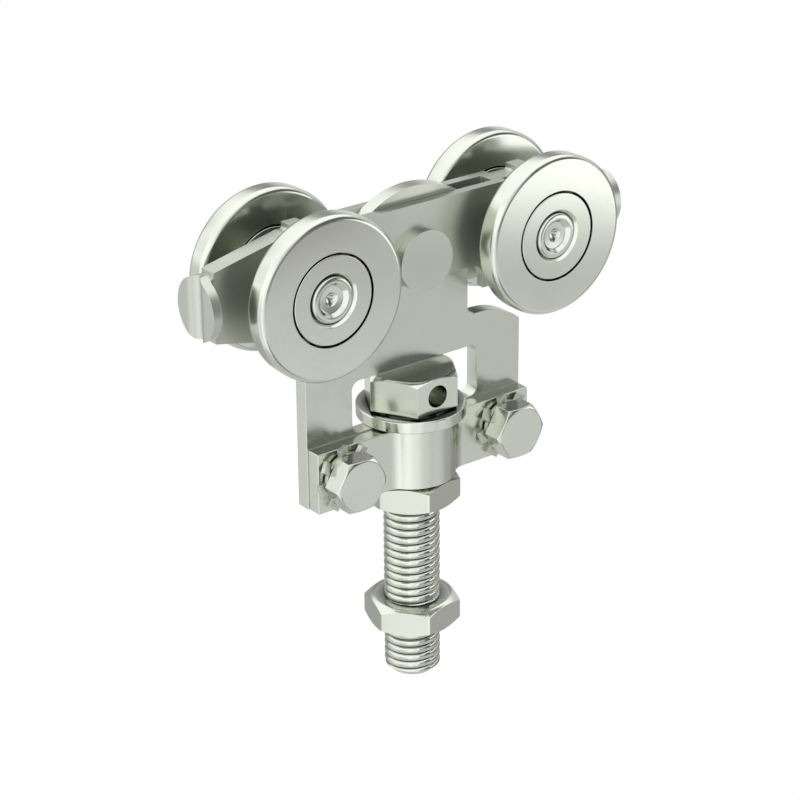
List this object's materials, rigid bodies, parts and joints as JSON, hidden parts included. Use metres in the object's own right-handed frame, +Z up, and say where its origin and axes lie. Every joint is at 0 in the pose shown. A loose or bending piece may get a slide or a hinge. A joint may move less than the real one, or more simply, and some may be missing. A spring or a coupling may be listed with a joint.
{
  "type": "rail trolley",
  "caption": "Trolley with ball-bearing wheels that rolls in a slotted overhead rail, with a swinging hanger plate and a clamped swivelling bolt to carry a load.",
  "frame": {"origin": "middle of the plane that the four wheels run on, halfway between the axles and between the wheel rows", "axes": "+X along the rail, +Y across the rail towards the rear, away from the clamp plate, +Z up"},
  "size_m": [0.103, 0.0252, 0.1125],
  "materials": {
    "side_plate_steel": "satin nickel-plated pressed sheet steel",
    "axle_steel": "turned and plated steel",
    "wheel_steel": "ground and satin-plated hardened steel",
    "ring_steel": "satin-plated hardened steel",
    "ball_steel": "polished hardened steel",
    "hanger_steel": "satin-plated formed steel plate",
    "bolt_steel": "bright zinc-nickel plated steel",
    "washer_steel": "plated spring steel"
  },
  "bodies": {
    "beam": {"front_side_plate": "side_plate_steel", "rear_side_plate": "side_plate_steel", "left_axle": "axle_steel", "right_axle": "axle_steel", "pivot_pin": "axle_steel", "front_left_spacer": "axle_steel", "front_right_spacer": "axle_steel", "rear_left_spacer": "axle_steel", "rear_right_spacer": "axle_steel", "front_left_inner_ring": "ring_steel", "front_right_inner_ring": "ring_steel", "rear_left_inner_ring": "ring_steel", "rear_right_inner_ring": "ring_steel"},
    "front_left_roller": {"front_left_wheel": "wheel_steel"},
    "front_left_ball_set": {"front_left_balls": "ball_steel"},
    "front_right_roller": {"front_right_wheel": "wheel_steel"},
    "front_right_ball_set": {"front_right_balls": "ball_steel"},
    "rear_left_roller": {"rear_left_wheel": "wheel_steel"},
    "rear_left_ball_set": {"rear_left_balls": "ball_steel"},
    "rear_right_roller": {"rear_right_wheel": "wheel_steel"},
    "rear_right_ball_set": {"rear_right_balls": "ball_steel"},
    "hanger": {"hanger_plate": "hanger_steel", "clamp_plate": "hanger_steel", "left_clamp_screw": "bolt_steel", "right_clamp_screw": "bolt_steel", "left_lock_washer": "washer_steel", "right_lock_washer": "washer_steel"},
    "bolt": {"suspension_bolt": "bolt_steel", "bolt_washer": "bolt_steel", "upper_nut": "bolt_steel"},
    "load_nut": {"lower_nut": "bolt_steel"}
  },
  "joints": [
    {"name": "front_left_wheel_turn", "type": "hinge", "parent": "beam", "child": "front_left_roller", "pos_m": [-0.0282, -0.01015, 0.017], "axis": [0, 1, 0], "continuous": true},
    {"name": "front_left_ball_orbit", "type": "hinge", "parent": "beam", "child": "front_left_ball_set", "pos_m": [-0.0282, -0.01015, 0.017], "axis": [0, 1, 0], "continuous": true},
    {"name": "front_right_wheel_turn", "type": "hinge", "parent": "beam", "child": "front_right_roller", "pos_m": [0.0282, -0.01015, 0.017], "axis": [0, 1, 0], "continuous": true},
    {"name": "front_right_ball_orbit", "type": "hinge", "parent": "beam", "child": "front_right_ball_set", "pos_m": [0.0282, -0.01015, 0.017], "axis": [0, 1, 0], "continuous": true},
    {"name": "rear_left_wheel_turn", "type": "hinge", "parent": "beam", "child": "rear_left_roller", "pos_m": [-0.0282, 0.01015, 0.017], "axis": [0, 1, 0], "continuous": true},
    {"name": "rear_left_ball_orbit", "type": "hinge", "parent": "beam", "child": "rear_left_ball_set", "pos_m": [-0.0282, 0.01015, 0.017], "axis": [0, 1, 0], "continuous": true},
    {"name": "rear_right_wheel_turn", "type": "hinge", "parent": "beam", "child": "rear_right_roller", "pos_m": [0.0282, 0.01015, 0.017], "axis": [0, 1, 0], "continuous": true},
    {"name": "rear_right_ball_orbit", "type": "hinge", "parent": "beam", "child": "rear_right_ball_set", "pos_m": [0.0282, 0.01015, 0.017], "axis": [0, 1, 0], "continuous": true},
    {"name": "hanger_swing", "type": "hinge", "parent": "beam", "child": "hanger", "pos_m": [0, 0, 0.0162], "axis": [0, 1, 0], "range_deg": [-15, 15]},
    {"name": "bolt_swivel", "type": "hinge", "parent": "hanger", "child": "bolt", "pos_m": [0, 0, -0.0255], "axis": [0, 0, 1], "continuous": true},
    {"name": "load_nut_travel", "type": "slide", "parent": "bolt", "child": "load_nut", "axis": [0, 0, 1], "range_m": [-0.01, 0.022]}
  ],
  "couplings": [
    {"joint": "front_left_ball_orbit", "follows": "front_left_wheel_turn", "ratio": 0.5856},
    {"joint": "front_right_ball_orbit", "follows": "front_right_wheel_turn", "ratio": 0.5856},
    {"joint": "rear_left_ball_orbit", "follows": "rear_left_wheel_turn", "ratio": 0.5856},
    {"joint": "rear_right_ball_orbit", "follows": "rear_right_wheel_turn", "ratio": 0.5856}
  ]
}
